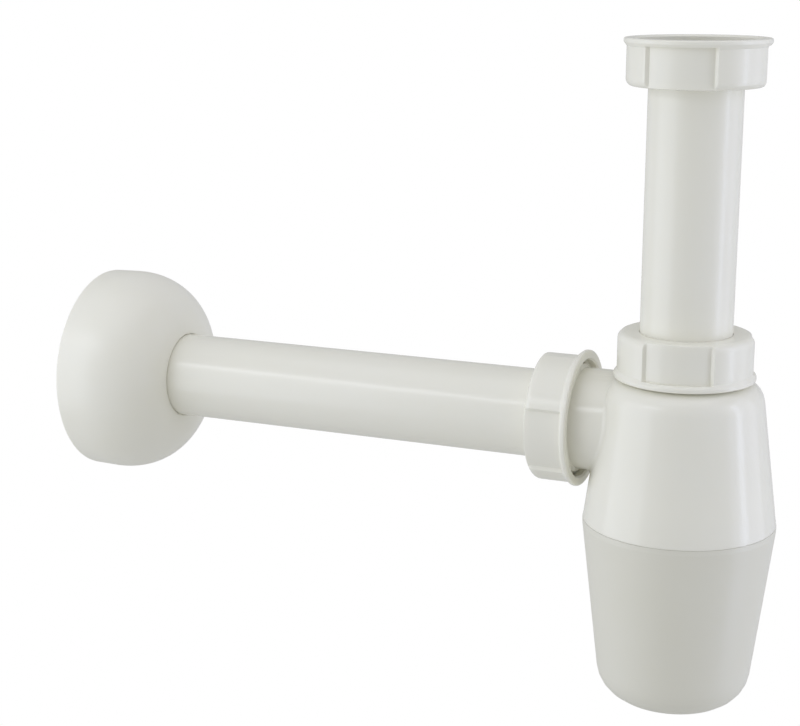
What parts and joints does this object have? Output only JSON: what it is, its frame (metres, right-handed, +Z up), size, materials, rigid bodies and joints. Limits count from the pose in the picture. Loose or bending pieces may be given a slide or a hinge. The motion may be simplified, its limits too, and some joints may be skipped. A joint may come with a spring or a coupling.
{
  "type": "bottle trap with wall outlet",
  "caption": "White plastic washbasin bottle trap: adjustable inlet tube, screw-off cup, horizontal 32 mm outlet tube and sliding wall rosette.",
  "frame": {"origin": "centre of the inlet gasket's top face, where the basin waste seats inside the union nut", "axes": "+Z up along the inlet tube towards the basin; the outlet tube runs along -X to the wall"},
  "size_m": [0.2692, 0.0786, 0.2353],
  "materials": {
    "gloss_white": "smooth moulded polypropylene with a soft gloss",
    "cup_white": "satin, slightly greyer polypropylene",
    "slip_plastic": "plain hard plastic",
    "seal_rubber": "matte black rubber"
  },
  "bodies": {
    "inlet": {"inlet_tube": "gloss_white", "inlet_gasket": "seal_rubber"},
    "union_nut": {"inlet_union_nut": "gloss_white"},
    "height_seal": {"body_cone_seal": "seal_rubber"},
    "body": {"trap_body": "gloss_white", "dip_tube": "gloss_white"},
    "top_ring": {"body_slip_ring": "slip_plastic"},
    "top_nut": {"body_nut": "gloss_white"},
    "cup_ring": {"cup_seal": "seal_rubber"},
    "bottom_cup": {"cup": "cup_white"},
    "side_ring": {"outlet_slip_ring": "slip_plastic"},
    "side_nut": {"outlet_nut": "gloss_white"},
    "side_seal": {"outlet_cone_seal": "seal_rubber"},
    "wall_tube": {"outlet_tube": "gloss_white"},
    "rosette": {"wall_rosette": "gloss_white"}
  },
  "joints": [
    {"name": "union_nut_spin", "type": "hinge", "parent": "inlet", "child": "union_nut", "pos_m": [0, 0, 0], "axis": [0, 0, 1], "continuous": true},
    {"name": "height_slide", "type": "slide", "parent": "inlet", "child": "height_seal", "axis": [0, 0, 1], "range_m": [-0.035, 0.04]},
    {"name": "body_swivel", "type": "hinge", "parent": "height_seal", "child": "body", "pos_m": [0, 0, -0.11], "axis": [0, 0, 1], "continuous": true},
    {"name": "top_nut_travel", "type": "slide", "parent": "body", "child": "top_ring", "axis": [0, 0, 1], "range_m": [0, 0.006]},
    {"name": "top_nut_turn", "type": "hinge", "parent": "top_ring", "child": "top_nut", "pos_m": [0, 0, -0.1], "axis": [0, 0, 1], "range_deg": [0, 720]},
    {"name": "cup_travel", "type": "slide", "parent": "body", "child": "cup_ring", "axis": [0, 0, -1], "range_m": [0, 0.006]},
    {"name": "cup_turn", "type": "hinge", "parent": "cup_ring", "child": "bottom_cup", "pos_m": [0, 0, -0.19], "axis": [0, 0, -1], "range_deg": [0, 720]},
    {"name": "side_nut_travel", "type": "slide", "parent": "body", "child": "side_ring", "axis": [-1, 0, 0], "range_m": [0, 0.006]},
    {"name": "side_nut_turn", "type": "hinge", "parent": "side_ring", "child": "side_nut", "pos_m": [-0.045, 0, -0.1272], "axis": [-1, 0, 0], "range_deg": [0, 720]},
    {"name": "wall_tube_turn", "type": "hinge", "parent": "body", "child": "side_seal", "pos_m": [-0.045, 0, -0.1272], "axis": [-1, 0, 0], "continuous": true},
    {"name": "wall_tube_slide", "type": "slide", "parent": "side_seal", "child": "wall_tube", "axis": [-1, 0, 0], "range_m": [-0.01, 0.008]},
    {"name": "rosette_slide", "type": "slide", "parent": "wall_tube", "child": "rosette", "axis": [1, 0, 0], "range_m": [0, 0.13]}
  ],
  "couplings": [
    {"joint": "top_nut_travel", "follows": "top_nut_turn", "m_per_rad": 0.00047746},
    {"joint": "cup_travel", "follows": "cup_turn", "m_per_rad": 0.00047746},
    {"joint": "side_nut_travel", "follows": "side_nut_turn", "m_per_rad": 0.00047746}
  ]
}
